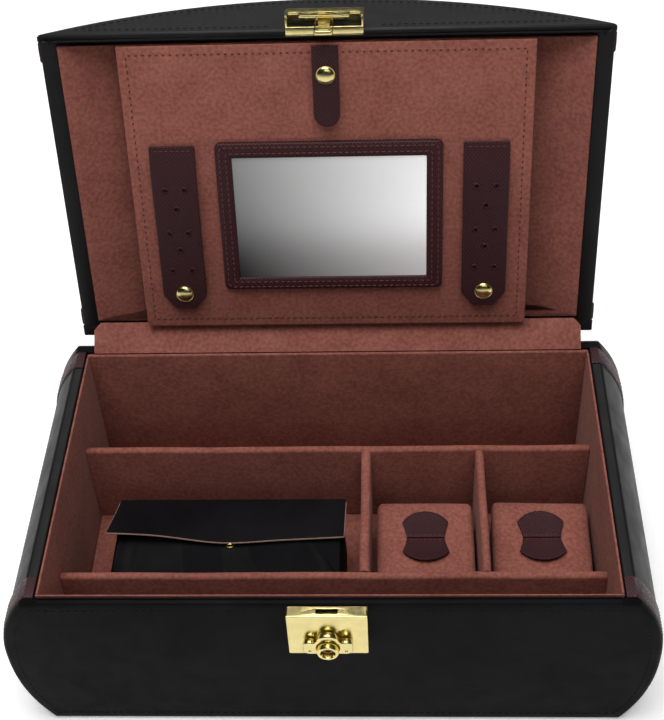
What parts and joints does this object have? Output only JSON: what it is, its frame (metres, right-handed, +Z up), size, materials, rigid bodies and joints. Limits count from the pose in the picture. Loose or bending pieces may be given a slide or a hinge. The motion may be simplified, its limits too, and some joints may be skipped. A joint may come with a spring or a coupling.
{
  "type": "leather jewellery case",
  "caption": "Barrel-shaped leather jewellery case with a hinged arched lid, divided suede tray, lid mirror, snap straps, lift-out pads, pouch and push-button lock.",
  "frame": {"origin": "centre of the bottom felt, midway between the linings", "axes": "+X to the right along the front, +Y to the hinge at the back, +Z up"},
  "size_m": [0.3216, 0.2673, 0.2835],
  "materials": {
    "black_leather": "grained black leather, satin",
    "brown_leather": "cross-grained dark brown leather, satin",
    "rose_suede": "soft rose suede nap",
    "gold_metal": "polished pale gold plate",
    "mirror": "silvered glass",
    "black_felt": "matt felt",
    "spring_steel": "bright wire"
  },
  "bodies": {
    "base": {"base_front_panel": "black_leather", "base_back_panel": "black_leather", "base_curved_body": "black_leather", "base_front_edging": "brown_leather", "base_back_edging": "brown_leather", "bottom_felt": "black_felt", "front_lining": "rose_suede", "back_lining": "rose_suede", "left_lining": "rose_suede", "right_lining": "rose_suede", "compartment_floor": "rose_suede", "rear_divider": "rose_suede", "front_divider": "rose_suede", "cross_divider_left": "rose_suede", "cross_divider_right": "rose_suede", "lock_case": "gold_metal", "escutcheon": "gold_metal", "lock_barrel": "gold_metal", "button_spring": "spring_steel", "hinge_leaf_base": "gold_metal", "hinge_pin": "gold_metal", "hinge_cover_strip": "rose_suede"},
    "lid": {"lid_front_panel": "black_leather", "lid_back_panel": "black_leather", "lid_curved_body": "black_leather", "lid_front_edging": "brown_leather", "lid_back_edging": "brown_leather", "lid_arch_lining": "rose_suede", "lid_front_lining": "rose_suede", "lid_back_lining": "rose_suede", "lid_lock_cap": "gold_metal", "striker_tongue": "gold_metal", "hinge_leaf_lid": "gold_metal", "flap_hinge_tape": "rose_suede"},
    "lid_flap": {"lid_flap_board": "rose_suede", "mirror_frame": "brown_leather", "mirror_glass": "mirror", "strap_stud_socket_left": "gold_metal", "strap_stud_socket_right": "gold_metal", "retaining_stud_socket": "gold_metal"},
    "retaining_tab": {"retaining_strap": "brown_leather", "retaining_stud_cap": "gold_metal"},
    "left_earring_strap": {"earring_strap_left": "brown_leather", "strap_stud_cap_left": "gold_metal"},
    "right_earring_strap": {"earring_strap_right": "brown_leather", "strap_stud_cap_right": "gold_metal"},
    "left_pad": {"pad_left": "rose_suede"},
    "right_pad": {"pad_right": "rose_suede"},
    "left_tab_rear": {"tab_left_upper": "brown_leather"},
    "left_tab_front": {"tab_left_lower": "brown_leather"},
    "right_tab_rear": {"tab_right_upper": "brown_leather"},
    "right_tab_front": {"tab_right_lower": "brown_leather"},
    "pouch": {"pouch_body": "black_leather", "pouch_stud_socket": "gold_metal"},
    "pouch_cover": {"pouch_flap": "black_leather", "pouch_stud_cap": "gold_metal"},
    "button": {"lock_button": "gold_metal", "latch_catch": "gold_metal"},
    "plug": {"key_plug": "gold_metal"}
  },
  "joints": [
    {"name": "lid_hinge", "type": "hinge", "parent": "base", "child": "lid", "pos_m": [0, 0.0924, 0.1013], "axis": [-1, 0, 0], "range_deg": [-100.5, 0], "deforming": ["hinge_cover_strip"]},
    {"name": "lid_flap_hinge", "type": "hinge", "parent": "lid", "child": "lid_flap", "pos_m": [0, 0.09089, 0.1155], "axis": [1, 0, 0], "range_deg": [0, 60], "deforming": ["flap_hinge_tape", "retaining_strap", "retaining_stud_cap"]},
    {"name": "retaining_strap_fold", "type": "hinge", "parent": "lid", "child": "retaining_tab", "pos_m": [0, 0.12115, 0.27066], "axis": [-1, 0, 0], "range_deg": [0, 90]},
    {"name": "left_earring_strap_fold", "type": "hinge", "parent": "lid_flap", "child": "left_earring_strap", "pos_m": [-0.08, 0.10948, 0.21979], "axis": [-1, 0, 0], "range_deg": [0, 90]},
    {"name": "right_earring_strap_fold", "type": "hinge", "parent": "lid_flap", "child": "right_earring_strap", "pos_m": [0.08, 0.10948, 0.21979], "axis": [-1, 0, 0], "range_deg": [0, 90]},
    {"name": "left_pad_lift", "type": "slide", "parent": "base", "child": "left_pad", "axis": [0, 0, 1], "range_m": [0, 0.06]},
    {"name": "right_pad_lift", "type": "slide", "parent": "base", "child": "right_pad", "axis": [0, 0, 1], "range_m": [0, 0.06]},
    {"name": "left_tab_rear_fold", "type": "hinge", "parent": "left_pad", "child": "left_tab_rear", "pos_m": [0.0479, -0.0089, 0.0524], "axis": [1, 0, 0], "range_deg": [0, 75]},
    {"name": "left_tab_front_fold", "type": "hinge", "parent": "left_pad", "child": "left_tab_front", "pos_m": [0.0479, -0.0097, 0.0524], "axis": [-1, 0, 0], "range_deg": [0, 75]},
    {"name": "right_tab_rear_fold", "type": "hinge", "parent": "right_pad", "child": "right_tab_rear", "pos_m": [0.1089, -0.0089, 0.0524], "axis": [1, 0, 0], "range_deg": [0, 75]},
    {"name": "right_tab_front_fold", "type": "hinge", "parent": "right_pad", "child": "right_tab_front", "pos_m": [0.1089, -0.0097, 0.0524], "axis": [-1, 0, 0], "range_deg": [0, 75]},
    {"name": "pouch_lift", "type": "slide", "parent": "base", "child": "pouch", "axis": [0, 0, 1], "range_m": [0, 0.06]},
    {"name": "pouch_cover_fold", "type": "hinge", "parent": "pouch", "child": "pouch_cover", "pos_m": [-0.0545, 0.009, 0.0603], "axis": [-1, 0, 0], "range_deg": [-3.5, 80]},
    {"name": "button_press", "type": "slide", "parent": "base", "child": "button", "axis": [0, 1, 0], "range_m": [0, 0.0018], "stiffness_N_per_m": 300, "springref_m": -0.002, "deforming": ["button_spring"]},
    {"name": "key_turn", "type": "hinge", "parent": "button", "child": "plug", "pos_m": [0, -0.0989, 0.0794], "axis": [0, -1, 0], "range_deg": [0, 90]}
  ]
}
